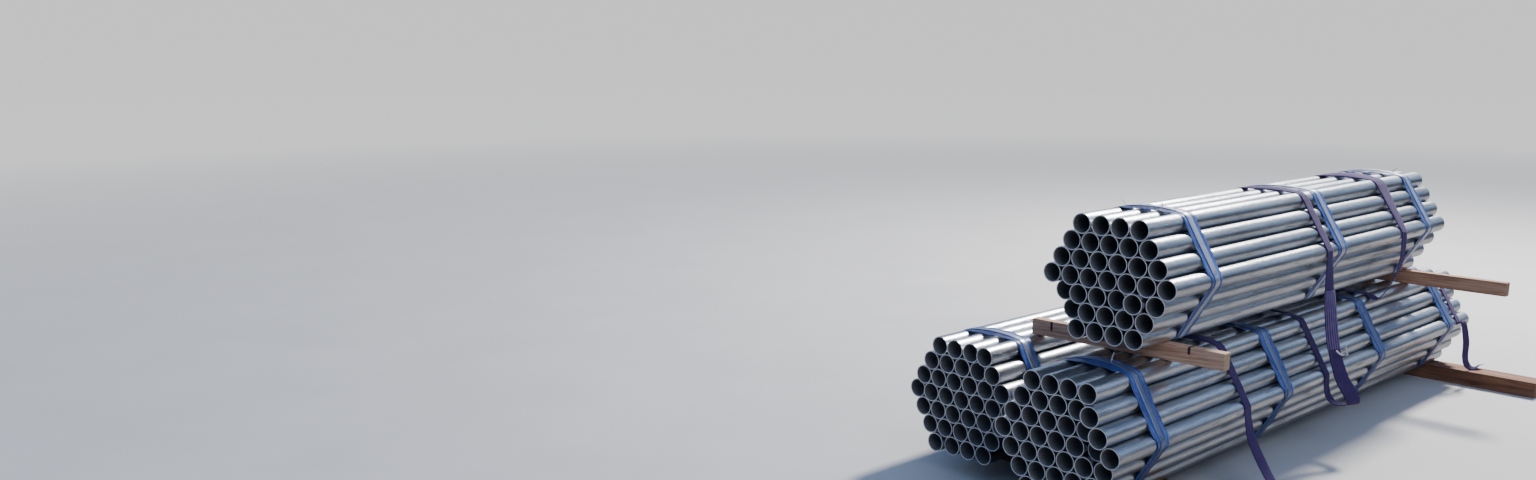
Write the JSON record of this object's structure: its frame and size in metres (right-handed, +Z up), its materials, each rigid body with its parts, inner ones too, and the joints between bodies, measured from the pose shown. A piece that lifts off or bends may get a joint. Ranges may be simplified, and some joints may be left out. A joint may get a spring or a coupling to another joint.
{
  "type": "stack of steel tubes",
  "caption": "Strapped hexagonal bundles of galvanised steel tube, stacked in tiers on sawn timbers, with blue plastic sleeves under steel straps and violet webbing slings.",
  "frame": {"origin": "floor level, under the middle of the two lower bundles", "axes": "+Z up, +Y along the tubes away from the near end that the picture shows, +X across the bundles to the right"},
  "size_m": [1.8, 3.393, 1.0843],
  "materials": {
    "galvanised_tube": "bright galvanised zinc, satin, with streaks and handling scuffs",
    "blue_sleeve": "crinkled blue plastic sleeve",
    "steel_strap": "plain steel strapping, grey, slightly dull",
    "violet_webbing": "woven polyester webbing, worn and dusty",
    "spacer_timber": "sawn softwood, orange brown",
    "bearer_timber": "weathered sawn timber, reddish brown"
  },
  "bodies": {
    "root": {"upper_tubes": "galvanised_tube", "right_tubes": "galvanised_tube", "left_tubes": "galvanised_tube", "upper_sleeves": "blue_sleeve", "right_sleeves": "blue_sleeve", "left_sleeves": "blue_sleeve", "upper_straps": "steel_strap", "right_straps": "steel_strap", "left_straps": "steel_strap", "upper_middle_sling": "violet_webbing", "upper_far_sling": "violet_webbing", "right_near_sling": "violet_webbing", "right_middle_sling": "violet_webbing", "right_far_sling": "violet_webbing", "near_spacer": "spacer_timber", "far_spacer": "spacer_timber", "near_bearer": "bearer_timber", "far_bearer": "bearer_timber"}
  },
  "joints": []
}
